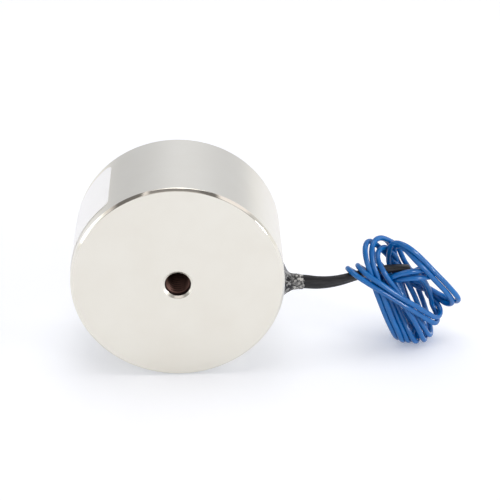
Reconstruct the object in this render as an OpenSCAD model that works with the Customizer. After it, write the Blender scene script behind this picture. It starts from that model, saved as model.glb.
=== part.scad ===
// Round holding electromagnet: a turned steel pot with a coil sealed inside it,
// a threaded mounting hole in its rear face and two leads out through its side.
// It lies on its side on the floor. The turning axis runs along Y, the rear face
// looks to -Y and the working face to +Y. The origin is on the floor below its middle.

/* [Pot] */
// Outer diameter of the pot
body_d = 50; // [44:0.5:64]
// Length of the pot along its axis
body_l = 27; // [22:0.5:40]
// Thickness of the outer wall, which is one of the two poles
wall_t = 3.5; // [2.5:0.1:4.5]
// Thickness of the base behind the coil
base_t = 5.2; // [4:0.1:8]
// Width of the coil space between the wall and the centre pole
coil_w = 9.5; // [7:0.1:12]
// Chamfer on the outer edges of both end faces
rim_chamfer = 0.6; // [0.2:0.05:1.2]

/* [Mounting thread] */
// Major diameter of the thread in the rear face
thread_d = 6; // [4:1:8]
// Depth of the thread from the rear face
thread_depth = 12; // [8:0.5:16]
// Width of the countersink around the thread
countersink_w = 0.65; // [0.2:0.05:1.5]
// Included angle of the drill point at the bottom of the hole
drill_angle = 118; // [90:1:140]

/* [Coil] */
// Gap between the bobbin and the steel around it
bobbin_clear = 0.2; // [0.1:0.05:0.5]
// Wall of the bobbin's tube
tube_t = 0.8; // [0.6:0.1:1.5]
// Thickness of each of the bobbin's flanges
flange_t = 1; // [0.6:0.1:1.5]
// Thickness of the tape round the winding
tape_t = 0.3; // [0.1:0.05:0.6]
// Depth of the resin that seals the coil in at the working face
potting_t = 3; // [1.5:0.1:5]
// How far the resin lies below the pole faces
potting_recess = 0.2; // [0.1:0.05:0.5]

/* [Leads] */
// Outer diameter of a lead's insulation
wire_d = 1.4; // [1:0.1:1.8]
// Diameter of a lead's bared and tinned end
conductor_d = 0.8; // [0.4:0.1:0.9]
// Length of each bared end
bare_l = 6; // [4:0.5:10]
// Gap between the two leads where they lie side by side
lead_gap = 0.1; // [0.1:0.05:0.3]
// Wall of the sleeve that is shrunk over both leads
sleeve_wall = 0.35; // [0.2:0.05:0.6]
// Gap round the sleeve in the exit hole
exit_clear = 0.5; // [0.3:0.05:0.8]
// Angle of the exit hole below the level of the pot's axis
exit_angle = 11; // [5:1:20]
// Turn of the flat sleeve about its own line, from the pot to the hank
sleeve_twist = 80; // [0:5:90]

/* [Splices] */
// Length of each lead inside the pot, from its bend to its end
lead_run = 10; // [6:0.5:14]
// Diameter of a soldered joint
joint_d = 0.9; // [0.6:0.05:1]
// Length of a soldered joint
joint_l = 3; // [2:0.5:5]
// Wall of the sleeve over a joint
splice_wall = 0.3; // [0.2:0.05:0.4]
// Gap between that sleeve and the lead inside it
splice_clear = 0.05; // [0.05:0.05:0.15]
// Length of lead that the sleeve covers
splice_lap = 2.5; // [1:0.5:4]
// Room left between the splice sleeves and what is round them
lead_clear = 0.35; // [0.2:0.05:0.6]
// Diameter of the coil's own wire
tail_d = 0.4; // [0.2:0.05:0.6]
// Length of the coil's wire from a joint to where it drops to the winding
tail_run = 3; // [2:0.5:5]

/* [Sealant] */
// Reach of the sealant's foot round the sleeve, on the pot's wall
foot_reach = 2.6; // [1:0.1:4]
// How steeply the foot thins, from a cone to a sharp curve
foot_curve = 3; // [1:0.5:4]
// Thickness of the sealant's coat on the sleeve
coat_t = 0.25; // [0.1:0.05:0.5]
// Depth to which the sealant stays clear of the inside of the wall
plug_inset = 0.3; // [0.1:0.1:1]

/* [Label] */
// Length of the label round the pot
label_l = 36; // [15:1:45]
// Thickness of the label
label_t = 0.15; // [0.1:0.05:0.3]
// Angle of the label's upper edge from the top of the pot
label_start = 38.5; // [20:0.5:60]
// Margin between the label and the rear face
label_rear_margin = 3.8; // [1.5:0.1:6]
// Margin between the label and the working face
label_front_margin = 3; // [1.5:0.1:6]
// Radius of the label's corners
label_corner = 1.5; // [0.5:0.1:3]

/* [Hank] */
// Radius of the hank's round ends
hank_r = 3.5; // [2:0.5:5]
// Depth of the hank from front to back
hank_depth = 15; // [10:0.5:20]
// Distance from the middle of the exit hole back to the hank's front
hank_front = 3.5; // [0:0.5:6]
// Spacing of the two bared ends at the hank's back
bare_pitch = 3; // [2:0.5:4]

/* [Hidden] */

$fn = 96;
small_fn = 32;
overcut = 1;
body_r = body_d / 2;
coil_r = body_r - wall_t;
pole_r = coil_r - coil_w;
thread_r = thread_d / 2;
countersink_r = thread_r + countersink_w;
drill_tip = thread_r / tan(drill_angle / 2);

// Coil space, measured from the rear face along the axis
tube_inner_r = pole_r + bobbin_clear;
tube_r = tube_inner_r + tube_t;
flange_r = coil_r - bobbin_clear;
rear_flange_z = base_t + flange_t;
bobbin_end_z = body_l - potting_t;
front_flange_z = bobbin_end_z - flange_t;

// Leads side by side in their sleeve, and the hole that they leave by
lead_offset = (wire_d + lead_gap) / 2;
sleeve_w = 2 * wire_d + lead_gap + 2 * sleeve_wall;
sleeve_t = wire_d + 2 * sleeve_wall;
exit_d = sleeve_w + 2 * exit_clear;
exit_z = rear_flange_z + exit_d / 2;

// Splices, in the ring of room that the winding leaves inside the wall
splice_inner_r = wire_d / 2 + splice_clear;
splice_r = splice_inner_r + splice_wall;
lead_bend = splice_r + lead_clear;
lead_r = coil_r - lead_bend;
tape_r = lead_r - lead_bend;
winding_r = tape_r - tape_t;
tape_z = rear_flange_z + exit_d;
function arc_angle(length, radius) = length / radius * 180 / PI;
bend_end = asin((lead_offset + lead_bend) / coil_r);
bend_x = coil_r * cos(bend_end);
lead_end = bend_end + arc_angle(lead_run, lead_r);
joint_end = lead_end + arc_angle(joint_l, lead_r);
splice_start = lead_end - arc_angle(splice_lap, lead_r);
tail_end = joint_end + arc_angle(tail_run, lead_r);

// Routes of a lead and of the coil's wire inside the pot, square to their end faces.
// X runs out along the exit hole and Z along the pot's axis.
bend_steps = 6;
arc_steps = 10;
square_end = 0.2;
function at_angle(r, angle) = [r * cos(angle), r * sin(angle), 0];
function along_arc(angle) = [-sin(angle), cos(angle), 0];
function arc_points(from_angle, to_angle) = [for (k = [1:arc_steps - 1])
    at_angle(lead_r, from_angle + (to_angle - from_angle) * k / arc_steps)];
bend_centre = [bend_x, lead_offset + lead_bend, 0];
lead_points = concat(
    [[coil_r, lead_offset, 0]],
    [for (k = [0:bend_steps]) bend_centre + at_angle(lead_bend, -90 - (90 - bend_end) * k / bend_steps)],
    arc_points(bend_end, lead_end),
    [at_angle(lead_r, lead_end) - along_arc(lead_end) * square_end, at_angle(lead_r, lead_end)]
);
tail_points = concat(
    [at_angle(lead_r, joint_end), at_angle(lead_r, joint_end) + along_arc(joint_end) * square_end],
    arc_points(joint_end, tail_end),
    [for (r = [lead_r - tail_d, winding_r + square_end, winding_r]) at_angle(r, tail_end)]
);

// Sleeve's route. The first two points are on the exit hole's line, at the inside
// and the outside of the wall. The rest are measured from the exit along X and Y,
// and from the floor along Z.
exit_x = body_r * cos(exit_angle);
exit_y = exit_z - body_l / 2;
function on_exit_line(r) = [r * cos(exit_angle), exit_y, body_r - r * sin(exit_angle)];
SLEEVE_ROUTE = [
    [1.5, 0, 20.3], [3, 0, 20.5], [4.5, 0, 20.5], [6, 0, 20.4], [8.5, 0.2, 20], [11.5, 0.5, 19.9],
    [14.5, 0.9, 20.2], [17.5, 1.4, 20.8], [20.5, 1.8, 21.5], [23.5, 2.2, 22], [26.5, 2.6, 22.1],
    [29, 2.9, 21.9], [31, 3, 21.6]
];
sleeve_points = concat(
    [on_exit_line(coil_r), on_exit_line(body_r)],
    [for (p = SLEEVE_ROUTE) [exit_x + p[0], exit_y + p[1], p[2]]]
);
sleeve_last = len(sleeve_points) - 1;
// Point of the route where the sealant's coat ends and the twist begins
coat_last = 5;
cord_sides = 8;
sealant_sides = 16;

// Middles of the hank's round ends, from the exit along X and from the floor along Z
HANK_ENDS = [[20, 22.5], [22.5, 27], [27, 26.5], [40.5, 12.5]];
// The two ends that lie on the floor, along X
HANK_FEET = [31.5, 37];
hank_y = exit_y - hank_front;
hank_back_y = hank_y + hank_depth;
bare_x = exit_x + (HANK_FEET[0] + HANK_FEET[1]) / 2;

// Label
label_h = body_l - label_rear_margin - label_front_margin;
label_angle = arc_angle(label_l, body_r);
label_w = body_d * sin(label_angle / 2);

// Puts a shape that was turned about Z, from the rear face up, on the pot's lying axis
module turned() {
    translate([0, -body_l / 2, body_r])
        rotate([-90, 0, 0])
            children();
}

// Turns a shape that leaves along X at the rear face's height to the exit hole
module at_exit() {
    turned()
        rotate([0, 0, exit_angle])
            translate([0, 0, exit_z])
                children();
}

// Ring between two radii and two heights
module ring(r_in, r_out, z_low, z_high) {
    rotate_extrude()
        translate([r_in, z_low])
            square([r_out - r_in, z_high - z_low]);
}

// Round bar bent along an arc about Z, between two angles
module bent_bar(path_r, bar_r, from_angle, to_angle) {
    rotate([0, 0, from_angle])
        rotate_extrude(angle = to_angle - from_angle)
            translate([path_r, 0])
                circle(r = bar_r, $fn = small_fn);
}

// Unit vector, direction of a route at a point, and the way up square to a direction
function unit(v) = v / norm(v);
function heading(p, i) = unit(p[min(i + 1, len(p) - 1)] - p[max(i - 1, 0)]);
function upward(t) = unit([0, 0, 1] - t * t[2]);

// Points of one oval ring round a point of a route
function oval(centre, t, half, turn, sides) =
    let (up = upward(t), side = cross(t, up))
    let (wide = up * cos(turn) + side * sin(turn), thin = side * cos(turn) - up * sin(turn))
    [for (k = [0:sides - 1])
        centre + wide * half[0] * cos(360 * k / sides) + thin * half[1] * sin(360 * k / sides)];

// Oval bar swept along a route, with a half width, half thickness and turn at each point
module swept(points, halves, turns, sides) {
    last = len(points) - 1;
    rings = [for (i = [0:last]) each oval(points[i], heading(points, i), halves[i], turns[i], sides)];
    sides_a = [for (i = [0:last - 1], k = [0:sides - 1])
        [i * sides + k, (i + 1) * sides + k, i * sides + (k + 1) % sides]];
    sides_b = [for (i = [0:last - 1], k = [0:sides - 1])
        [(i + 1) * sides + k, (i + 1) * sides + (k + 1) % sides, i * sides + (k + 1) % sides]];
    near_cap = [[for (k = [0:sides - 1]) k]];
    far_cap = [[for (k = [sides - 1:-1:0]) last * sides + k]];
    polyhedron(rings, concat(sides_a, sides_b, near_cap, far_cap));
}

// Round bar swept along a route
module round_bar(points, bar_r) {
    swept(points, [for (p = points) [bar_r, bar_r]], [for (p = points) 0], cord_sides);
}

// Whole sleeve, from inside the wall to its end in the hank
module sleeve_bar() {
    halves = [for (i = [0:sleeve_last]) [sleeve_w / 2, sleeve_t / 2]];
    turns = [for (i = [0:sleeve_last]) sleeve_twist * max(0, i - coat_last) / (sleeve_last - coat_last)];
    swept(sleeve_points, halves, turns, cord_sides);
}

// Drilled hole that the leads leave the pot by
module exit_hole() {
    at_exit()
        translate([tape_r, 0, 0])
            rotate([0, 90, 0])
                cylinder(d = exit_d, h = body_r - tape_r + overcut);
}

// Body of revolution with the blind hole, the coil space and the chamfered rims
module pot() {
    color("gainsboro")
        difference() {
            turned()
                rotate_extrude()
                    polygon([
                        [0, thread_depth + drill_tip], [thread_r, thread_depth], [thread_r, countersink_w],
                        [countersink_r, 0], [body_r - rim_chamfer, 0], [body_r, rim_chamfer],
                        [body_r, body_l - rim_chamfer], [body_r - rim_chamfer, body_l],
                        [coil_r, body_l], [coil_r, base_t], [pole_r, base_t], [pole_r, body_l], [0, body_l]
                    ]);
            exit_hole();
        }
}

// Moulded spool: a tube with a flange at each end
module bobbin() {
    color("ivory")
        turned()
            rotate_extrude()
                polygon([
                    [tube_inner_r, base_t], [flange_r, base_t], [flange_r, rear_flange_z],
                    [tube_r, rear_flange_z], [tube_r, front_flange_z], [flange_r, front_flange_z],
                    [flange_r, bobbin_end_z], [tube_inner_r, bobbin_end_z]
                ]);
}

// Enamelled copper between the flanges
module winding() {
    color("chocolate")
        turned()
            ring(tube_r, winding_r, rear_flange_z, front_flange_z);
}

// Tape round the winding, with a strip left bare where the leads come off
module winding_tape() {
    color("gold")
        turned()
            ring(winding_r, tape_r, tape_z, front_flange_z);
}

// Resin ring between the two poles
module potting() {
    color("dimgray")
        turned()
            ring(pole_r, coil_r, bobbin_end_z, body_l - potting_recess);
}

// One lead from the sleeve's inner end, round a bend and along the wall to its splice
module inner_lead(side) {
    color("royalblue")
        at_exit()
            mirror([0, side < 0 ? 1 : 0, 0])
                round_bar(lead_points, wire_d / 2);
}

// Solder round a lead's bared end and the coil's wire
module solder_joint(side) {
    color("silver")
        at_exit()
            mirror([0, side < 0 ? 1 : 0, 0])
                bent_bar(lead_r, joint_d / 2, lead_end, joint_end);
}

// Insulating sleeve over a joint and the end of its lead
module splice_sleeve(side) {
    color("black")
        at_exit()
            mirror([0, side < 0 ? 1 : 0, 0])
                difference() {
                    bent_bar(lead_r, splice_r, splice_start, joint_end);
                    bent_bar(lead_r, splice_inner_r, splice_start - overcut, joint_end + overcut);
                }
}

// Coil's own wire, from a joint along the wall and down to the winding
module coil_tail(side) {
    color("peru")
        at_exit()
            mirror([0, side < 0 ? 1 : 0, 0])
                round_bar(tail_points, tail_d / 2);
}

// Sealant: it fills the exit hole round the sleeve and spreads on to the wall in a foot,
// which thins to a coat on the sleeve
module exit_sealant() {
    points = concat(
        [on_exit_line(coil_r + plug_inset), on_exit_line(body_r + coat_t)],
        [for (i = [2:coat_last]) sleeve_points[i]]
    );
    foot = [for (i = [0:coat_last]) coat_t + foot_reach * pow(1 - max(0, i - 1) / (coat_last - 1), foot_curve)];
    halves = [for (f = foot) [sleeve_w / 2 + f, sleeve_t / 2 + f]];
    turns = [for (f = foot) 0];
    color("darkslategray")
        difference() {
            swept(points, halves, turns, sealant_sides);
            difference() {
                turned()
                    cylinder(r = body_r, h = body_l);
                exit_hole();
            }
            sleeve_bar();
        }
}

// Outer shape of the two leads, folded up loosely round the sleeve's end
module lead_hank() {
    color("royalblue")
        translate([exit_x, hank_back_y, 0])
            rotate([90, 0, 0])
                linear_extrude(hank_depth)
                    hull() {
                        for (p = HANK_ENDS)
                            translate(p)
                                circle(r = hank_r, $fn = small_fn);
                        for (x = HANK_FEET)
                            translate([x, hank_r])
                                circle(r = hank_r, $fn = small_fn);
                    }
}

// Shrunk sleeve from the exit hole to the hank
module lead_sleeve() {
    color("black")
        difference() {
            sleeve_bar();
            lead_hank();
        }
}

// Bared end of a lead, lying on the floor behind the hank
module conductor_end(side) {
    color("silver")
        translate([bare_x + side * bare_pitch / 2, hank_back_y, wire_d / 2])
            rotate([-90, 0, 0])
                cylinder(d = conductor_d, h = bare_l, $fn = small_fn);
}

// Blank label with rounded corners, round the side of the pot
module label() {
    color("white")
        turned()
            intersection() {
                ring(body_r, body_r + label_t, 0, body_l);
                rotate([0, 0, -90 - label_start - label_angle / 2])
                    translate([0, 0, label_rear_margin + label_h / 2])
                        rotate([90, 0, 90])
                            linear_extrude(body_d)
                                offset(label_corner, $fn = small_fn)
                                    square([label_w, label_h] - [2, 2] * label_corner, center = true);
            }
}

pot();
bobbin();
winding();
winding_tape();
potting();
coil_tail(1);  // coil_tail_a
coil_tail(-1);  // coil_tail_b
solder_joint(1);  // solder_joint_a
solder_joint(-1);  // solder_joint_b
splice_sleeve(1);  // splice_sleeve_a
splice_sleeve(-1);  // splice_sleeve_b
inner_lead(1);  // inner_lead_a
inner_lead(-1);  // inner_lead_b
exit_sealant();
lead_sleeve();
lead_hank();
conductor_end(1);  // conductor_end_a
conductor_end(-1);  // conductor_end_b
label();
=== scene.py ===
"""Dresses the holding electromagnet: nickel pot, label, sealant, sleeve and two blue leads."""
import math
import bmesh
import bpy
import numpy as np
from mathutils import Matrix, Vector


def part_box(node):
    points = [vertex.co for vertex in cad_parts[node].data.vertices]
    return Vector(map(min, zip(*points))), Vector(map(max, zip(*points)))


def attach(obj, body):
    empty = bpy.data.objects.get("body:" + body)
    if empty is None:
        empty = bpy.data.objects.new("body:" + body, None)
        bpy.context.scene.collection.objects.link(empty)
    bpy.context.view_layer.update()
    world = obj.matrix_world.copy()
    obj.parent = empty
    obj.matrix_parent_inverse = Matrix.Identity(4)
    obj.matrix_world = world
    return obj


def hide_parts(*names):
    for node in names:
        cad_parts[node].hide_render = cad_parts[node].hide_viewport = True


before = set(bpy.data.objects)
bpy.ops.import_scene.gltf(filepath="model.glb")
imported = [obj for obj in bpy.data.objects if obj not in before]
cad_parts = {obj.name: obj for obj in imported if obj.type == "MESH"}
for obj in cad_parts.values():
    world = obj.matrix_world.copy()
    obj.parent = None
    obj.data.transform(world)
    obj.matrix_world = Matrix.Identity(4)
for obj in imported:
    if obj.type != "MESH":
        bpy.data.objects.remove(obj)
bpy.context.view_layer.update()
MM = 0.001


def node_box(name):
    """Lowest and highest corners of a solid, in mm."""
    low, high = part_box(name)
    return np.array(low) / MM, np.array(high) / MM


# Sizes in mm. The pot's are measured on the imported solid. The others repeat the part's own,
# apart from the countersink's depth and the wire, which are read from the photograph.
pot_low, pot_high = node_box("pot")
body_r = (pot_high[2] - pot_low[2]) / 2
body_l = pot_high[1] - pot_low[1]
rear_y = pot_low[1]
axis_z = body_r
wall_t = 3.5
base_t = 5.2
pole_r = 12
rim_chamfer = 0.6
thread_r = 3
thread_depth = 12
countersink = 0.7
countersink_t = 0.45
drill_tip = 1.8
wire_d = 1.3
sleeve_w = 3.6
sleeve_t = 2.1

# Lead exit: where the sleeve leaves the wall, and the hole's own directions
exit_d = 4.6
exit_angle = math.radians(11)
exit_point = np.array([24.54, -5, 20.23])
exit_out = np.array([math.cos(exit_angle), 0, -math.sin(exit_angle)])
exit_across = np.array([math.sin(exit_angle), 0, math.cos(exit_angle)])
pot_axis = np.array([0, 1, 0])

# Camera, as the photograph was taken: lens and sensor in mm, place in m, angles in degrees
camera_lens = 108.6
camera_sensor = 36
camera_nearest = 0.01
camera_place = (0.00603, -0.31647, 0.20193)
camera_tilt = 61.02
camera_turn = -2.03


def make_camera():
    data = bpy.data.cameras.new("camera")
    data.lens = camera_lens
    data.sensor_width = camera_sensor
    data.clip_start = camera_nearest
    camera = bpy.data.objects.new("camera", data)
    camera.location = camera_place
    camera.rotation_euler = (math.radians(camera_tilt), 0, math.radians(camera_turn))
    bpy.context.scene.collection.objects.link(camera)
    bpy.context.scene.camera = camera


# Mesh helpers
points_between = 12
sharp_edge = math.radians(30)


def make_piece(name, vertices, faces, slot):
    """New smooth piece on the part's one body, from vertices in mm."""
    mesh = bpy.data.meshes.new(name)
    mesh.from_pydata([tuple(v * MM) for v in np.asarray(vertices, float)], [], faces)
    mesh.validate()
    mesh.shade_smooth()
    piece = bpy.data.objects.new(name, mesh)
    bpy.context.scene.collection.objects.link(piece)
    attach(piece, "root")
    return piece


def face_outward(piece):
    mesh = bmesh.new()
    mesh.from_mesh(piece.data)
    bmesh.ops.recalc_face_normals(mesh, faces=mesh.faces)
    mesh.to_mesh(piece.data)
    mesh.free()


def unit(v):
    return v / np.linalg.norm(v, axis=-1, keepdims=True)


def circle(count):
    """Angles of even steps round a circle."""
    return np.arange(count) * 2 * math.pi / count


def through(points, places):
    """Smooth curve through a list of points, read at places counted in points."""
    points = np.asarray(points, float)
    last = len(points) - 1
    places = np.clip(places, 0, last - 1e-9)
    i = np.floor(places).astype(int)
    f = (places - i)[:, None]
    a, b, c, d = (points[np.clip(i + k, 0, last)] for k in (-1, 0, 1, 2))
    linear = (c - a) / 2
    square = a - 2.5 * b + 2 * c - d / 2
    cubic = 1.5 * (b - c) + (d - a) / 2
    return b + f * linear + f**2 * square + f**3 * cubic


def step_lengths(path):
    return np.linalg.norm(np.diff(path, axis=0), axis=1)


def even_steps(points, step):
    """Same curve, with points an even step apart."""
    fine = through(points, np.linspace(0, len(points) - 1, points_between * len(points)))
    along = np.r_[0, np.cumsum(step_lengths(fine))]
    at = np.linspace(0, along[-1], int(round(along[-1] / step)) + 1)
    return np.stack([np.interp(at, along, fine[:, axis]) for axis in range(3)], 1)


def path_frames(path):
    """Two crosswise directions at each point of a path, carried along it without twist."""
    ahead = unit(np.gradient(path, axis=0))
    up = np.zeros_like(ahead)
    up[0] = unit(np.array([0, 0, 1]) - ahead[0] * ahead[0][2])
    for i in range(1, len(path)):
        up[i] = unit(up[i - 1] - ahead[i] * np.dot(up[i - 1], ahead[i]))
    return up, np.cross(ahead, up)


def ring_faces(count, sides):
    """Faces between each ring of vertices and the next."""
    faces = []
    for ring in range(count - 1):
        for k in range(sides):
            a = ring * sides + k
            b = ring * sides + (k + 1) % sides
            faces.append((a, b, b + sides, a + sides))
    return faces


def closed_tube(rings, tips):
    """Vertices and faces of rings that are joined one to the next and end in a tip each way."""
    count = len(rings)
    sides = len(rings[0])
    vertices = np.vstack([np.reshape(rings, (-1, 3)), tips])
    first_tip = count * sides
    last_tip = first_tip + 1
    last_ring = first_tip - sides
    faces = ring_faces(count, sides)
    faces += [(first_tip, (k + 1) % sides, k) for k in range(sides)]
    faces += [(last_tip, last_ring + k, last_ring + (k + 1) % sides) for k in range(sides)]
    return vertices, faces


def sweep(path, sections):
    """Closed tube along a path, with one section of (up, side) offsets for each point."""
    up, side = path_frames(path)
    rings = path[:, None] + sections[:, :, :1] * up[:, None] + sections[:, :, 1:] * side[:, None]
    return closed_tube(rings, [path[0], path[-1]])


def round_sections(count, radius, sides):
    angle = circle(sides)
    ring = np.stack([np.cos(angle), np.sin(angle)], 1)
    return np.broadcast_to(ring * radius, (count, sides, 2))


# Sleeve, on the route of the part's own sleeve: out of the wall and into the bundle
SLEEVE_ROUTE = [
    (20.5, -5, 21.0), (24.5, -5, 20.2), (26, -5, 20.3), (27.5, -5, 20.5), (29, -5, 20.5),
    (30.5, -5, 20.4), (33, -4.8, 20), (36, -4.5, 19.9), (39, -4.1, 20.2), (42, -3.6, 20.8),
    (45, -3.2, 21.5), (48, -2.8, 22), (51, -2.4, 22.1), (53.5, -2.1, 21.9), (55.5, -2, 21.6),
]
sleeve_step = 0.4
sleeve_sides = 24
groove_depth = 0.14
groove_sharpness = 8
twist_start = 30.5
twist = math.radians(80)


def make_sleeve():
    """Flat sleeve with a shallow groove between the leads, which twists on its way to the bundle."""
    path = even_steps(SLEEVE_ROUTE, sleeve_step)
    angle = circle(sleeve_sides)
    waist = 1 - groove_depth * np.cos(2 * angle) ** groove_sharpness
    wide = np.cos(angle) * sleeve_w / 2
    thick = np.sin(angle) * sleeve_t / 2 * waist
    turn = twist * np.clip((path[:, 0] - twist_start) / (path[-1, 0] - twist_start), 0, 1)
    c = np.cos(turn)[:, None]
    s = np.sin(turn)[:, None]
    sections = np.stack([wide * c - thick * s, wide * s + thick * c], 2)
    piece = make_piece("sleeve", *sweep(path, sections), "sleeve_black")
    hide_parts("lead_sleeve")
    return piece, path


# Bundle: each lead runs up the near side and down the far side of its loops. There is one list
# of loops for each lead. A loop is its bottom fold and its top fold, then how far the lead stands
# off the straight line between them: at the bottom fold, on the near run, at the top fold and on
# the far run.
LOOPS = [
    [
        ((64.5, 1, 6.5), (40.6, -2.5, 22.1),
         (0, -3.5, -1.8), (0, -6, 2.4), (-1.5, -4.5, 3.2), (5, 4.5, -4)),
        ((54.6, 0.3, 1.5), (45.2, -1, 28.7),
         (-0.8, -4.5, 0), (-1, -5, 0), (-2.1, -4.5, 1.7), (3.4, 4, 0.6)),
        ((60.9, 0, 0.7), (48.7, 0, 26.3),
         (-0.8, -4.5, 0), (0, -5.3, 0.5), (-3.6, -4, 0), (1.9, 4, 0.3)),
        ((57, -0.5, 0.7), (50.2, 1.5, 19.2),
         (-1.5, -4, 0), (-2.75, -4, 0), (-2.5, -4.5, 2), (1, 3.5, -0.5)),
        ((68.3, 0, 11), (51.5, 0, 27.6),
         (0, -3, 1.7), (0.9, -3.5, 2.9), (1.8, -4, 3.7), (-2.5, 3, -5)),
        ((60.5, 1.5, 20.4), (49.7, -1, 19),
         (0, -4, 1), (0, -5, 1.6), (0, -4, 2), (0, 4, -2)),
    ],
    [
        ((64.5, 1.5, 7.3), (43, -2, 22.6),
         (0, -3.5, -1.8), (0, -6.4, 2.6), (-1.5, -4.5, 3.2), (5, 5, -4)),
        ((56.1, 0, 1), (47.4, -0.5, 29.1),
         (-0.8, -4.5, 0), (-2.2, -5.4, 0), (-3.2, -4.5, 0), (3.3, 4.5, 0.6)),
        ((62.5, 1.3, 1.2), (48.2, 3.8, 26.9),
         (-0.8, -4.5, 0), (-1.2, -4.2, 0.5), (-4.2, -2.4, 0), (1.6, 4.8, 0.3)),
        ((58.8, -1.5, 0.7), (51.6, 2, 17.5),
         (-1.5, -4, 0), (-2.3, -3.5, 0), (-2.5, -4.5, 2), (1, 4, -0.5)),
        ((66.8, 0.5, 10.2), (53, 0.5, 26.9),
         (0.3, -3, 2), (1.1, -4.5, 1.7), (1.5, -4, 1.8), (-2.8, 4.5, -4)),
        ((61.8, 1.5, 18.1), (50.8, -1, 17.6),
         (0, -4, 1), (0, -5, 1.6), (0, -4, 2), (0, 4.5, -2)),
    ],
]
# From the sleeve's end to the first fold, and from the last fold to the bared end
LEAD_STARTS = [
    [(54.8, -2.74, 21.7), (55.7, -2.74, 21.4), (56.7, -2.6, 20.8), (57.8, -2.2, 19.9),
     (58.9, -1.6, 18.7), (59.9, -0.8, 17.1), (60.9, 0.3, 14.8), (61.9, 1.4, 11.8), (62.8, 2.3, 9.2)],
    [(54.8, -1.26, 21.45), (55.7, -1.26, 21.15), (56.7, -1.1, 20.5), (57.7, -0.8, 19.5),
     (58.7, -0.1, 18.2), (59.6, 0.8, 16.5), (60.6, 2, 14), (61.8, 2.95, 11.3), (62.9, 3.4, 9)],
]
LEAD_ENDS = [
    [(50.2, 2.4, 15.4), (52.2, 2.2, 11.6), (55.2, 1.2, 7.8), (57.8, 0.8, 4.6), (59.4, 1.8, 2.2),
     (60.2, 4, 0.95), (60.29, 6.5, 0.7)],
    [(51, 2.6, 14), (51.9, 2.8, 10.4), (53.4, 2, 6.9), (55.2, 1.4, 4), (56.5, 2.2, 2),
     (57.15, 4.2, 0.95), (57.29, 6.5, 0.7)],
]
points_per_turn = 28
first_turn = -0.06
last_turn = 5.5
turn_slack = 0.01
fold_fullness = 0.1
lead_step = 1.2
lead_mesh_step = 0.45
lead_sides = 14


def lead_route(lead):
    """Route of one lead: its start, its loops and its end."""
    turn = np.arange(first_turn, last_turn + turn_slack, 1 / points_per_turn)
    bottoms = [loop[0] for loop in LOOPS[lead]]
    tops = [loop[1] for loop in LOOPS[lead]]
    # The swing is negative on the far run, so what is written for it is turned round
    signs = (1, 1, 1, -1)
    spreads = [np.array(v) * sign for loop in LOOPS[lead] for v, sign in zip(loop[2:], signs)]
    bottom = through(bottoms, turn)
    top = through(tops, turn - 0.5)
    spread = through(spreads, len(signs) * turn)
    angle = 2 * math.pi * turn[:, None]
    height = np.cos(angle)
    swing = np.sin(angle) + fold_fullness * np.sin(3 * angle)
    loops = bottom * (1 + height) / 2 + top * (1 - height) / 2 + spread * swing
    return even_steps(np.vstack([LEAD_STARTS[lead], loops, LEAD_ENDS[lead]]), lead_step)


# Settling of the strands. Gaps and bends are in mm, the held ends and the like are counted in
# points of a lead, and a share is the part of a correction that one round makes.
settle_rounds = 80
strand_gap = 1.05 * wire_d
sleeve_gap = 1.6 + wire_d / 2
sleeve_until = 54.5
least_bend = 3.6
held_at_start = 3
held_at_end = 4
clear_of_exit = 9
own_stretch = 4
bend_half = 2
bend_whole = 2 * bend_half
bend_reach = bend_half * lead_step
most_sag = least_bend * (1 - math.cos(bend_reach / least_bend))
crowd_share = 0.6
smooth_shares = (0.3, -0.31)
ease_share = 0.3
home_share = 0.01
pull_share = 0.3
pull_rounds = 3
tiny = 1e-9


def push_apart(p, same_stretch):
    """How strands that are too close push each point."""
    apart = p[:, None] - p
    distance = np.linalg.norm(apart, axis=2) + tiny
    close = (distance < strand_gap) & ~same_stretch
    push = np.where(close, (strand_gap - distance) / distance / 2, 0)
    crowd = np.maximum(1, crowd_share * close.sum(1))
    return (push[:, :, None] * apart).sum(1) / crowd[:, None]


def push_off_sleeve(p, sleeve_path):
    """How the sleeve pushes each point that lies in it."""
    off = p[:, None] - sleeve_path
    nearest = np.linalg.norm(off, axis=2).argmin(1)
    off = off[np.arange(len(p)), nearest]
    distance = np.linalg.norm(off, axis=1) + tiny
    push = np.where(distance < sleeve_gap, (sleeve_gap - distance) / distance / 2, 0)
    return push[:, None] * off


def towards_neighbours(p):
    """How far each point is from the middle of its two neighbours."""
    middle = p.copy()
    middle[1:-1] = (p[:-2] + p[2:]) / 2
    return middle - p


def ease_bends(p, one_lead):
    """How points move where a bend is too tight."""
    sag = (p[:-bend_whole] + p[bend_whole:]) / 2 - p[bend_half:-bend_half]
    depth = np.linalg.norm(sag, axis=1)
    tight = (depth > most_sag) & one_lead
    share = np.where(tight, (depth - most_sag) / np.maximum(depth, tiny) * ease_share, 0)
    ease = share[:, None] * sag
    move = np.zeros_like(p)
    move[bend_half:-bend_half] += ease
    move[:-bend_whole] -= ease / 2
    move[bend_whole:] -= ease / 2
    return move


def keep_length(p, rest, joined):
    """How points move so that the steps of a lead keep their length."""
    step = np.diff(p, axis=0)
    length = np.linalg.norm(step, axis=1)
    pull = np.where(joined, (length - rest) / length, 0)[:, None] * step * pull_share
    move = np.zeros_like(p)
    move[:-1] += pull
    move[1:] -= pull
    return move


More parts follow.
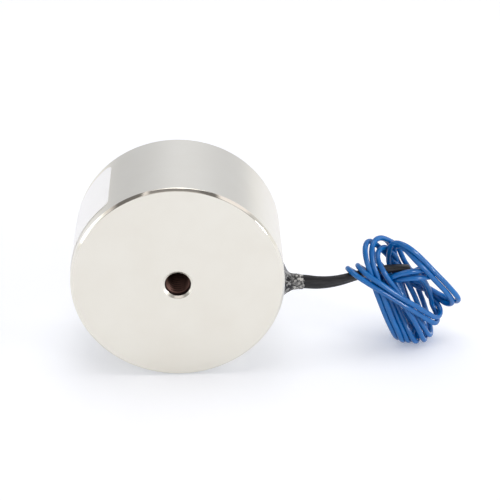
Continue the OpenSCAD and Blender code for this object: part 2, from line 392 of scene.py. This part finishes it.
def settle(leads, sleeve_path):
    """Moves strands that lie in each other apart, as springy wire does, and keeps them off the floor."""
    count = len(leads[0])
    p = np.vstack(leads)
    home = p.copy()
    rest = step_lengths(p)
    index = np.arange(len(p))
    lead = index >= count
    joined = index[:-1] != count - 1
    from_start = np.where(lead, index - count, index)
    from_end = np.where(lead, len(p) - 1 - index, count - 1 - index)
    free = ((from_start >= held_at_start) & (from_end >= held_at_end))[:, None]
    clear = (from_start >= clear_of_exit)[:, None]
    same_stretch = (lead[:, None] == lead) & (abs(index[:, None] - index) <= own_stretch)
    one_lead = lead[:-bend_whole] == lead[bend_whole:]
    for _ in range(settle_rounds):
        p = p + free * push_apart(p, same_stretch)
        p = p + clear * push_off_sleeve(p, sleeve_path)
        for share in smooth_shares:
            p = p + free * share * towards_neighbours(p)
        p = p + free * ease_bends(p, one_lead) + free * home_share * (home - p)
        for _ in range(pull_rounds):
            p = p + free * keep_length(p, rest, joined)
        p[:, 2] = np.maximum(p[:, 2], wire_d / 2)
    return p[:count], p[count:]


def make_leads(sleeve_path):
    around = sleeve_path[sleeve_path[:, 0] < sleeve_until]
    routes = settle([lead_route(0), lead_route(1)], around)
    pieces = []
    for name, route in zip("ab", routes):
        path = even_steps(route, lead_mesh_step)
        sections = round_sections(len(path), wire_d / 2, lead_sides)
        piece = make_piece("lead_" + name, *sweep(path, sections), "lead_blue")
        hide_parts("lead_hank")
        pieces.append((piece, path))
    return pieces


# Pot: the part's own profile with softened edges, as radius and distance from the rear face
edge_cut = 0.12
edge_hold = 1.6
edge_steps = 4
turn_steps = 256
drill_sides = 48
exit_room = 3.3
exit_from_rear = exit_point[1] - rear_y
coil_r = body_r - wall_t
POT_PROFILE = [
    (0, thread_depth + drill_tip),
    (thread_r, thread_depth),
    (thread_r, countersink_t),
    (thread_r + countersink, 0),
    (body_r - rim_chamfer, 0),
    (body_r, rim_chamfer),
    (body_r, body_l - rim_chamfer),
    (body_r - rim_chamfer, body_l),
    (coil_r, body_l),
    (coil_r, base_t),
    (pole_r, base_t),
    (pole_r, body_l),
    (0, body_l),
]
# Two rings on the outer wall, either side of the exit hole, keep the cut local
WALL_RINGS = [(body_r, exit_from_rear - exit_room), (body_r, exit_from_rear + exit_room)]
# Places of the pot's materials after the first, and what tells their faces
EDGE, INSIDE, SUNK = 1, 2, 3
least_slope, most_slope = 0.2, 0.98
hole_margin = 0.05


def soften(profile):
    """Outline with rounded corners, and a point on each side of a corner that holds the flats flat."""
    profile = np.asarray(profile, float)
    f = np.linspace(0, 1, edge_steps + 1)[:, None]
    points = [profile[0]]
    for before, corner, after in zip(profile, profile[1:], profile[2:]):
        near = unit(before - corner) * edge_cut
        far = unit(after - corner) * edge_cut
        arc = (1 - f) ** 2 * (corner + near) + 2 * f * (1 - f) * corner + f**2 * (corner + far)
        points += [corner + edge_hold * near, *arc, corner + edge_hold * far]
    return np.array(points + [profile[-1]])


def turned(profile):
    """Profile turned about the pot's axis, from one point on the axis to another."""
    angle = circle(turn_steps)
    rings = []
    for radius, depth in profile[1:-1]:
        y = np.full(turn_steps, rear_y + depth)
        rings.append(np.stack([radius * np.cos(angle), y, axis_z + radius * np.sin(angle)], 1))
    tips = [(0, rear_y + profile[end][1], axis_z) for end in (0, -1)]
    return closed_tube(rings, tips)


def cut_exit_hole(piece):
    """Drills the hole that the sleeve leaves by."""
    drill = bmesh.new()
    middle = (np.array([0, exit_point[1], axis_z]) + exit_out * (body_r - wall_t / 2)) * MM
    turn = Vector(exit_out).to_track_quat("Z", "Y").to_matrix().to_4x4()
    bmesh.ops.create_cone(drill, cap_ends=True, segments=drill_sides, radius1=exit_d / 2 * MM,
                          radius2=exit_d / 2 * MM, depth=2 * wall_t * MM,
                          matrix=Matrix.Translation(middle) @ turn)
    mesh = bpy.data.meshes.new("drill")
    drill.to_mesh(mesh)
    drill.free()
    cutter = bpy.data.objects.new("drill", mesh)
    bpy.context.scene.collection.objects.link(cutter)
    modifier = piece.modifiers.new("exit", "BOOLEAN")
    modifier.operation = "DIFFERENCE"
    modifier.object = cutter
    whole = piece.data
    evaluated = piece.evaluated_get(bpy.context.evaluated_depsgraph_get())
    piece.data = bpy.data.meshes.new_from_object(evaluated)
    piece.modifiers.clear()
    bpy.data.objects.remove(cutter)
    bpy.data.meshes.remove(mesh)
    bpy.data.meshes.remove(whole)
    piece.data.name = piece.name


def mark_surfaces(mesh):
    """Tells the rim's chamfers, the hole's inside and its countersink from the plain faces."""
    for face in mesh.polygons:
        x, y, z = np.array(face.center) / MM
        radius = math.hypot(x, z - axis_z)
        sloped = least_slope < abs(face.normal[1]) < most_slope
        if radius < thread_r + hole_margin and y < rear_y + body_l / 2:
            face.material_index = INSIDE
        elif sloped and radius > body_r - rim_chamfer - edge_cut:
            face.material_index = EDGE
        elif sloped and radius < thread_r + countersink + edge_cut:
            face.material_index = SUNK


def make_pot():
    profile = soften(POT_PROFILE)
    after = next(i for i, (r, t) in enumerate(profile) if r == body_r and t > body_l / 2)
    profile = np.insert(profile, after, WALL_RINGS, axis=0)
    piece = make_piece("pot_body", *turned(profile), "nickel")
    face_outward(piece)
    cut_exit_hole(piece)
    piece.data.shade_smooth()
    piece.data.set_sharp_from_angle(angle=sharp_edge)
    mark_surfaces(piece.data)
    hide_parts("pot")
    return piece


# Thread: one ridge wound down the hole, which fades in and out at its ends
thread_pitch = 1
thread_height = 0.52
thread_root = 0.04
thread_start = 0.75
thread_end = 10.5
thread_steps = 48
fade_turns = 0.6
least_width = 0.2
# Foot, start of the flank's painted highlight, two crest corners and foot: how far towards the axis, and
# along it
THREAD_SECTION = np.array([(0, -0.46), (0.5, -0.27), (1, -0.08), (1, 0.08), (0, 0.46)])
# Sides painted lighter as a highlight: the crest and the flank's half next to it, on the side towards the
# hole's mouth
HIGHLIGHT_SIDES = (1, 2)


def make_thread():
    """Ridge whose crest and the flank beside it have the first material, painted lighter as a highlight,
    and whose other sides have the second.
    """
    turns = (thread_end - thread_start) / thread_pitch
    turn = np.linspace(0, turns, int(turns * thread_steps))
    fade = np.clip(np.minimum(turn, turns - turn) / fade_turns, 0, 1)[:, None]
    turn = turn[:, None]
    inward, along = THREAD_SECTION.T
    width = least_width + (1 - least_width) * fade
    radius = thread_r + thread_root - thread_height * fade * inward
    y = rear_y + thread_start + thread_pitch * (turn + along * width)
    angle = 2 * math.pi * turn
    rings = np.stack([radius * np.cos(angle), y, axis_z + radius * np.sin(angle)], 2)
    count, sides = radius.shape
    last = sides * (count - 1)
    faces = ring_faces(count, sides)
    faces += [tuple(range(sides)), tuple(last + k for k in reversed(range(sides)))]
    piece = make_piece("hole_thread", rings.reshape(-1, 3), faces, "nickel")
    for face in piece.data.polygons:
        face.material_index = int(face.index % sides not in HIGHLIGHT_SIDES)
    face_outward(piece)
    piece.data.set_sharp_from_angle(angle=sharp_edge)
    return piece


# Sealant: an uneven skirt on the wall that thins to a coat on the sleeve, and a plug in the hole
sealant_reach = 3.1
sealant_coat = 0.22
sealant_end = 30.1
sealant_steps = 30
sealant_sides = 64
ring_spacing = 1.4
foot_fall = 4.5
foot_sink = 0.08
letting_go = 2.2
lump = 0.09
end_coat = 0.02
end_ragged = 0.9
end_slant = 0.8
plug_depth = 2.5
plug_neck = 0.9
plug_play = 0.02
# Unevenness round the sleeve, as (height, waves, start), and lumps as (waves round, turn along, start)
FOOT_WAVES = [(0.16, 3, 1), (0.1, 5, 2.4), (0.05, 11, 0)]
END_WAVES = [(0.2, 7, 0), (0.15, 12, 1)]
LUMPS = [(6, 9, 0), (11, -23, 1), (17, 37, 2)]


def waves(angle, terms):
    return sum(height * np.sin(count * angle + start) for height, count, start in terms)


def make_sealant():
    f = np.linspace(0, 1, sealant_steps)[:, None] ** ring_spacing
    x = exit_point[0] + (sealant_end - exit_point[0]) * f
    route_x, route_y, route_z = np.array(SLEEVE_ROUTE).T
    angle = circle(sealant_sides)
    skirt = sealant_coat + sealant_reach * (1 - f) ** foot_fall * (1 + waves(angle, FOOT_WAVES))
    skirt[-1] = end_coat
    lumps = sum(np.sin(count * angle + turn * f + start) for count, turn, start in LUMPS)
    skirt += lump * lumps / len(LUMPS) * np.sin(math.pi * f)
    y = np.interp(x, route_x, route_y) + (sleeve_t / 2 + skirt) * np.sin(angle)
    z = np.interp(x, route_x, route_z) + (sleeve_w / 2 + skirt) * np.cos(angle)
    # The skirt follows the round wall, and stands free of it further out
    on_wall = np.sqrt(body_r**2 - (z - axis_z) ** 2) + x - x[0]
    on_wall[0] -= foot_sink
    free = np.clip(letting_go * f, 0, 1)
    x = (1 - free) * on_wall + free * x
    # Its end is ragged, and reaches furthest along the sleeve's near side
    x -= end_ragged * (end_slant * (1 + np.sin(angle)) + waves(angle, END_WAVES)) * f**3
    hole_r = exit_d / 2 - plug_play
    up = np.cos(angle)[:, None] * exit_across
    side = np.sin(angle)[:, None] * pot_axis
    collar = exit_point + hole_r * (up + side)
    plug = [collar - plug_depth * exit_out, collar - plug_neck * exit_out]
    rings = np.concatenate([plug, np.stack([x, y, z], 2)])
    tips = [exit_point - plug_depth * exit_out, rings[-1].mean(0)]
    piece = make_piece("sealant", *closed_tube(rings, tips), "sealant")
    face_outward(piece)
    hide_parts("exit_sealant")
    return piece


# Bared ends: a tinned strand with six more wound round it, as long as the part's own
outer_strands = 6
strands_across = 3
strand_points = 40
strand_sides = 10
strand_lay = 9
strand_tuck = 0.4


def make_bared_end(node):
    low, high = node_box(node)
    middle = (low + high) / 2
    strand_r = (high[0] - low[0]) / strands_across / 2
    y = np.linspace(low[1] - strand_tuck, high[1], strand_points)
    turn = 2 * math.pi * (y - y[0]) / strand_lay
    vertices = []
    faces = []
    for strand in range(outer_strands + 1):
        reach = 0 if strand == 0 else 2 * strand_r
        angle = turn + strand * 2 * math.pi / outer_strands
        path = np.stack([middle[0] + reach * np.cos(angle), y, middle[2] + reach * np.sin(angle)], 1)
        more, sides = sweep(path, round_sections(len(path), strand_r, strand_sides))
        faces += [tuple(np.array(face) + len(vertices)) for face in sides]
        vertices += list(more)
    piece = make_piece("tinned_" + node[-1], vertices, faces, "solder")
    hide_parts(node)
    return piece


# Node helpers. Sizes of grain and depths of bump are in mm.
def put(tree, socket, value):
    """Links an input to another node's output, or sets it to a plain value."""
    if isinstance(value, bpy.types.NodeSocket):
        tree.links.new(value, socket)
    else:
        socket.default_value = value


def set_inputs(tree, node, **values):
    """Links or sets the named inputs of a node."""
    for key, value in values.items():
        put(tree, node.inputs[key.replace("_", " ")], value)


def add(tree, kind, **values):
    """New node with its named inputs linked or set."""
    node = tree.nodes.new(kind)
    set_inputs(tree, node, **values)
    return node


def new_surface(name, metal=0.0):
    mat = bpy.data.materials.new(name)
    mat.use_nodes = True
    tree = mat.node_tree
    shader = tree.nodes["Principled BSDF"]
    set_inputs(tree, shader, Metallic=metal)
    return mat, tree, shader


def place(tree):
    return add(tree, "ShaderNodeTexCoord").outputs["Object"]


def grain(tree, size, vector=None, detail=3.0, rough=0.5):
    """Noise with a grain of a size."""
    node = add(tree, "ShaderNodeTexNoise", Vector=vector or place(tree), Scale=1 / (size * MM),
               Detail=detail, Roughness=rough)
    return node.outputs["Fac"]


def between(tree, value, low, high, start=0.3, end=0.7):
    """Value from start to end, mapped to low to high."""
    node = add(tree, "ShaderNodeMapRange", Value=value, From_Min=start, From_Max=end, To_Min=low,
               To_Max=high)
    return node.outputs["Result"]


def shades(tree, value, stops):
    """Colours along a value, given as (place, colour)."""
    node = add(tree, "ShaderNodeValToRGB", Fac=value)
    ramp = node.color_ramp
    while len(ramp.elements) < len(stops):
        ramp.elements.new(0.5)
    for element, (where, colour) in zip(ramp.elements, stops):
        element.position = where
        element.color = (*colour, 1)
    return node.outputs["Color"]


def two_tone(tree, value, tones, start=0.3, end=0.7):
    """Colour that goes from a dark to a light tone."""
    dark, light = tones
    return shades(tree, value, [(start, dark), (end, light)])


def mixed(tree, amount, first, second):
    """Mix of two colours. A Mix node has inputs 6 and 7 and output 2 for colours."""
    node = add(tree, "ShaderNodeMix")
    node.data_type = "RGBA"
    put(tree, node.inputs["Factor"], amount)
    put(tree, node.inputs[6], first)
    put(tree, node.inputs[7], second)
    return node.outputs[2]


def calculated(tree, operation, first, second):
    node = add(tree, "ShaderNodeMath")
    node.operation = operation
    put(tree, node.inputs[0], first)
    put(tree, node.inputs[1], second)
    return node.outputs[0]


def length_of(tree, vector):
    node = add(tree, "ShaderNodeVectorMath", Vector=vector)
    node.operation = "LENGTH"
    return node.outputs["Value"]


def raised(tree, height, depth):
    """Bump of a depth."""
    return add(tree, "ShaderNodeBump", Height=height, Distance=depth * MM).outputs["Normal"]


# Tones of the surfaces, linear, as dark and light or as (place, colour)
PLATE = (0.79, 0.76, 0.682), (0.815, 0.79, 0.716)
# Painted shade: the hole's steel is coloured near black for the shade inside the hole
BORE_SHADE = (0.03, 0.018, 0.016), (0.05, 0.03, 0.026)
# Painted light on the thread: its crest is dark for the shade in the hole, and lighter than the bore as a
# painted highlight
CREST_SHADE_AND_HIGHLIGHT = (0.1, 0.055, 0.045), (0.16, 0.09, 0.075)
BLUE = (0.001, 0.117, 0.4), (0.003, 0.154, 0.485)
SLEEVE = (0.005, 0.005, 0.006), (0.022, 0.021, 0.023)
# Painted sheen: grey patches on the black sealant stand for its gloss, and silvery glints for light on
# its crinkled end
WET_SEALANT_AND_SHEEN = [(0.46, (0.004, 0.004, 0.005)), (0.5, (0.06, 0.06, 0.062)), (0.56, (0.3, 0.3, 0.3))]
SEALANT_GLINTS = [(0.0, (0.03, 0.03, 0.03)), (0.5, (0.2, 0.2, 0.2)), (1.0, (0.62, 0.61, 0.58))]
COPPER = (0.30, 0.09, 0.03), (0.62, 0.24, 0.10)
TIN = (0.55, 0.55, 0.55), (0.72, 0.71, 0.69)
SPLICE = (0.015, 0.015, 0.016), (0.03, 0.03, 0.03)
PAPER = (0.955, 0.955, 0.965), (0.97, 0.97, 0.97)
RESIN = (0.018, 0.018, 0.019), (0.035, 0.034, 0.033)
NYLON = (0.62, 0.57, 0.45), (0.70, 0.65, 0.53)
AMBER = (0.50, 0.28, 0.03), (0.60, 0.36, 0.06)
turning_pitch = 0.22
coil_wire = 0.4
black_specular = 0.35
# Where along the sleeve the sealant goes over to the painted glints of its crinkled end, in mm
glints_from, glints_full = 26.6, 27.6


def mottled(name, tones, size, rough, depth, metal=0.0):
    """Surface with a fine unevenness in colour, gloss and height."""
    mat, tree, shader = new_surface(name, metal)
    speck = grain(tree, size)
    cloud = grain(tree, 8 * size)
    set_inputs(tree, shader, Base_Color=two_tone(tree, cloud, tones),
               Roughness=between(tree, speck, 0.85 * rough, 1.15 * rough),
               Normal=raised(tree, speck, depth))
    return mat


def distance_run(tree, where):
    """Distance from the pot's axis plus distance along it, which changes across every turned surface."""
    offset = add(tree, "ShaderNodeVectorMath", Vector=where)
    offset.operation = "SUBTRACT"
    offset.inputs[1].default_value = (0, 0, axis_z * MM)
    parts = add(tree, "ShaderNodeSeparateXYZ", Vector=offset.outputs[0])
    flat = add(tree, "ShaderNodeCombineXYZ", X=parts.outputs["X"], Y=parts.outputs["Z"])
    radius = length_of(tree, flat.outputs[0])
    return calculated(tree, "ADD", radius, parts.outputs["Y"])


def turned_metal(name, tones, rough, depth):
    """Turned metal: a cloudy colour, with the faint rings that turning leaves in its gloss and height."""
    mat, tree, shader = new_surface(name, metal=1.0)
    where = place(tree)
    noise = add(tree, "ShaderNodeTexNoise", Scale=1 / (turning_pitch * MM), Detail=2.0)
    noise.noise_dimensions = "1D"
    set_inputs(tree, noise, W=distance_run(tree, where))
    ring = noise.outputs["Fac"]
    cloud = grain(tree, size=9, vector=where, detail=4)
    set_inputs(tree, shader, Base_Color=two_tone(tree, cloud, tones),
               Roughness=between(tree, ring, 0.98 * rough, 1.02 * rough),
               Normal=raised(tree, ring, depth))
    return mat


def make_blue():
    """Glossy coloured insulation, a little uneven along its length."""
    mat, tree, shader = new_surface("insulation")
    cloud = grain(tree, size=5)
    speck = grain(tree, size=0.5)
    wave = grain(tree, size=1.6)
    set_inputs(tree, shader, Base_Color=two_tone(tree, cloud, BLUE),
               Roughness=between(tree, speck, low=0.11, high=0.19),
               Normal=raised(tree, wave, depth=0.02))
    return mat


def make_sleeve_black():
    """Shrunk sleeve: satin black with fine ribs along it, painted darker in their grooves as shade."""
    mat, tree, shader = new_surface("shrunk_sleeve")
    along = add(tree, "ShaderNodeMapping", Vector=place(tree), Scale=(0.12, 1, 1))
    ribs = grain(tree, size=0.35, vector=along.outputs[0], detail=4)
    # Painted shade: the colour darkens where the ribs sink, in step with the bump
    set_inputs(tree, shader, Base_Color=two_tone(tree, ribs, SLEEVE, start=0.35, end=0.65),
               Roughness=between(tree, ribs, low=0.36, high=0.54),
               Specular_IOR_Level=black_specular, Normal=raised(tree, ribs, depth=0.1))
    return mat


def make_sealant_black():
    """Sealant: glossy black on the wall with painted sheen, and painted silvery glints where it ends
    crinkled on the sleeve.
    """
    mat, tree, shader = new_surface("sealant")
    where = place(tree)
    along = add(tree, "ShaderNodeSeparateXYZ", Vector=where).outputs["X"]
    # Painted glints: the crinkled end is coloured silver where its crinkles stand up
    glint_zone = between(tree, along, 0, 1, start=glints_from * MM, end=glints_full * MM)
    wrinkle = grain(tree, size=0.7, vector=where, detail=5, rough=0.6)
    glint_flakes = calculated(tree, "MULTIPLY", between(tree, wrinkle, 0, 1, start=0.42, end=0.62), glint_zone)
    # Painted sheen: grey patches on the glossy black
    sheen_patches = grain(tree, size=1.2, vector=where, detail=2)
    wet_and_sheen = shades(tree, sheen_patches, WET_SEALANT_AND_SHEEN)
    glints = shades(tree, glint_flakes, SEALANT_GLINTS)
    set_inputs(tree, shader, Base_Color=mixed(tree, glint_zone, wet_and_sheen, glints),
               Roughness=between(tree, wrinkle, low=0.16, high=0.4),
               Specular_IOR_Level=black_specular, Normal=raised(tree, wrinkle, depth=0.25))
    return mat


def make_winding_copper():
    """Enamelled wire, side by side along the pot's axis, with painted shade between the wires."""
    mat, tree, shader = new_surface("enamelled_copper", metal=1.0)
    # A wave of scale 1 has 20 bands in 2 pi
    bands = math.pi / 20 / (coil_wire * MM)
    wave = add(tree, "ShaderNodeTexWave", Vector=place(tree), Scale=bands, Distortion=0.4)
    wave.bands_direction = "Y"
    wires = wave.outputs["Fac"]
    # Painted shade and highlight: each wire darker in the grooves and lighter on its top, in step with
    # the bump
    set_inputs(tree, shader, Base_Color=two_tone(tree, wires, COPPER, start=0, end=1),
               Roughness=0.3, Normal=raised(tree, wires, depth=0.15))
    return mat


# Floor: pale, with a faint blue glow for what sees it, and plain white far from the part
floor_half = 30
floor_colour = (0.9, 0.9, 0.9, 1)
glow_colour = (0.88, 0.97, 1.15, 1)
floor_glow = 0.212
white_from, white_full = 0.2, 0.6


def make_floor():
    mesh = bpy.data.meshes.new("floor")
    corners = [(x * floor_half, y * floor_half, 0) for x, y in ((-1, -1), (1, -1), (1, 1), (-1, 1))]
    mesh.from_pydata(corners, [], [(0, 1, 2, 3)])
    floor = bpy.data.objects.new("floor", mesh)
    bpy.context.scene.collection.objects.link(floor)
    mat, tree, shader = new_surface("white_floor")
    rays = add(tree, "ShaderNodeLightPath")
    seen = rays.outputs["Is Camera Ray"]
    for kind in ("Is Glossy Ray", "Is Transmission Ray"):
        seen = calculated(tree, "ADD", seen, rays.outputs[kind])
    set_inputs(tree, shader, Base_Color=floor_colour, Roughness=0.9, Specular_IOR_Level=0,
               Emission_Color=glow_colour,
               Emission_Strength=calculated(tree, "MULTIPLY", seen, floor_glow))
    far = between(tree, length_of(tree, place(tree)), 0, 1, start=white_from, end=white_full)
    white = add(tree, "ShaderNodeEmission")
    blend = add(tree, "ShaderNodeMixShader", Fac=calculated(tree, "MULTIPLY", seen, far))
    put(tree, blend.inputs[1], shader.outputs[0])
    put(tree, blend.inputs[2], white.outputs[0])
    set_inputs(tree, tree.nodes["Material Output"], Surface=blend.outputs[0])
    mesh.materials.append(mat)


# Light of the studio. A direction's part along X, Y or Z goes from -1 to 1. The lists are greys
# from left to right, as (part along X, grey), and each pair is where a zone starts and is full.
SIDES_ACROSS = [(-0.9, 2.2), (-0.4, 1.05), (0.9, 1.0)]
LOW_CEILING_ACROSS = [(-0.8, 0.9), (-0.72, 0.2), (-0.45, 0.2), (-0.41, 1.1), (0.26, 1.1), (0.32, 0.2),
                      (0.49, 0.2), (0.55, 1.1)]
CEILING_ACROSS = [(-0.8, 0.9), (-0.72, 0.2), (-0.45, 0.2), (-0.41, 1), (-0.38, 1), (-0.34, 0.32),
                  (0.26, 0.32), (0.32, 0.2), (0.49, 0.2), (0.55, 1.1)]
BACK_ACROSS = [(-0.48, 0.665), (-0.25, 0.735), (0, 0.9), (0.2, 0.86), (0.35, 0.755), (0.48, 0.74),
               (0.62, 0.91)]
PLAIN = (1, 1, 1)
WARM = (1, 0.95, 0.94)
COOL = (0.98, 1, 1.06)
FRONT = (0.38, 0.38, 0.38, 1)
front_from, front_full = -0.12, -0.5
above_from, above_full = 0.05, 0.14
low_from, low_full = 0.4, 0.48
ceiling_from, ceiling_full = 0.64, 0.7
back_from, back_full = 0.35, 0.7


def across(tree, x, greys, tint):
    """Tinted light that changes from left to right."""
    stops = [((part + 1) / 2, tuple(np.array(tint) * grey)) for part, grey in greys]
    return shades(tree, between(tree, x, 0, 1, start=-1, end=1), stops)


def make_world():
    """Pale studio: bright sides, a dim front above the horizon, two zones of ceiling with dark gaps
    between their lamps, and a soft back."""
    world = bpy.data.worlds.new("studio")
    world.use_nodes = True
    tree = world.node_tree
    direction = add(tree, "ShaderNodeTexCoord").outputs["Generated"]
    parts = add(tree, "ShaderNodeSeparateXYZ", Vector=direction)
    x, y, z = (parts.outputs[axis] for axis in "XYZ")
    above = between(tree, z, 0, 1, start=above_from, end=above_full)
    in_front = between(tree, y, 0, 1, start=front_from, end=front_full)
    in_low = between(tree, z, 0, 1, start=low_from, end=low_full)
    in_ceiling = between(tree, z, 0, 1, start=ceiling_from, end=ceiling_full)
    in_back = between(tree, y, 0, 1, start=back_from, end=back_full)
    light = across(tree, x, SIDES_ACROSS, PLAIN)
    light = mixed(tree, calculated(tree, "MULTIPLY", in_front, above), light, FRONT)
    light = mixed(tree, in_low, light, across(tree, x, LOW_CEILING_ACROSS, WARM))
    light = mixed(tree, in_ceiling, light, across(tree, x, CEILING_ACROSS, WARM))
    light = mixed(tree, in_back, light, across(tree, x, BACK_ACROSS, COOL))
    set_inputs(tree, tree.nodes["Background"], Color=light)
    bpy.context.scene.world = world


def make_lamp(name, location, aim, width, power):
    light = bpy.data.lights.new(name, "AREA")
    light.size = width
    light.energy = power
    lamp = bpy.data.objects.new(name, light)
    lamp.location = location
    lamp.rotation_euler = (Vector(aim) - Vector(location)).to_track_quat("-Z", "Y").to_euler()
    lamp.visible_camera = False
    bpy.context.scene.collection.objects.link(lamp)


def dress(piece, *surfaces):
    """Gives a piece its surfaces. Clearing resets which face has which, so a new piece isn't cleared."""
    if piece.data.materials:
        piece.data.materials.clear()
    for surface in surfaces:
        piece.data.materials.append(surface)


make_camera()
sleeve, sleeve_path = make_sleeve()
leads = make_leads(sleeve_path)
pot = make_pot()
thread = make_thread()
sealant = make_sealant()
bared_ends = [make_bared_end(node) for node in ("conductor_end_a", "conductor_end_b")]

nickel = turned_metal("nickel_plate", PLATE, rough=0.28, depth=0.0001)
bright_edge = turned_metal("nickel_edge", PLATE, rough=0.08, depth=0.0002)
sunk_edge = turned_metal("nickel_countersink", PLATE, rough=0.25, depth=0.0002)
# Inside of the hole, coloured near black as painted shade
bore = turned_metal("bore_painted_shade", BORE_SHADE, rough=0.6, depth=0.0006)
# Thread crest, dark as painted shade and lighter than the bore as a painted highlight
crest = turned_metal("thread_crest_painted_light", CREST_SHADE_AND_HIGHLIGHT, rough=0.5, depth=0.0006)
blue = make_blue()
tin = mottled("tinned_copper", TIN, size=0.3, rough=0.3, depth=0.02, metal=1.0)
dress(pot, nickel, bright_edge, bore, sunk_edge)
dress(thread, crest, bore)
dress(sleeve, make_sleeve_black())
dress(sealant, make_sealant_black())
for piece, path in leads:
    dress(piece, blue)
for piece in bared_ends:
    dress(piece, tin)

# Solids of the part that stay as they are
splice = mottled("splice_sleeve", SPLICE, size=0.4, rough=0.45, depth=0.02)
copper = make_winding_copper()
NODE_SURFACES = {
    "label": mottled("label_paper", PAPER, size=0.15, rough=0.36, depth=0.01),
    "potting": mottled("resin", RESIN, size=0.7, rough=0.28, depth=0.05),
    "bobbin": mottled("nylon", NYLON, size=0.4, rough=0.5, depth=0.02),
    "winding": copper,
    "winding_tape": mottled("amber_tape", AMBER, size=0.5, rough=0.35, depth=0.02),
    "inner_lead_a": blue,
    "inner_lead_b": blue,
    "solder_joint_a": tin,
    "solder_joint_b": tin,
    "splice_sleeve_a": splice,
    "splice_sleeve_b": splice,
    "coil_tail_a": copper,
    "coil_tail_b": copper,
}
for name, surface in NODE_SURFACES.items():
    dress(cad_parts[name], surface)

make_floor()
make_world()
make_lamp("softbox", location=(0.05, 0.03, 0.9), aim=(0.02, 0, 0.02), width=0.6, power=2.8)
make_lamp("streak", location=(0.62, -0.38, 0.14), aim=(0.05, 0, 0.015), width=0.14, power=1.5)

bpy.context.scene.view_settings.view_transform = "Standard"
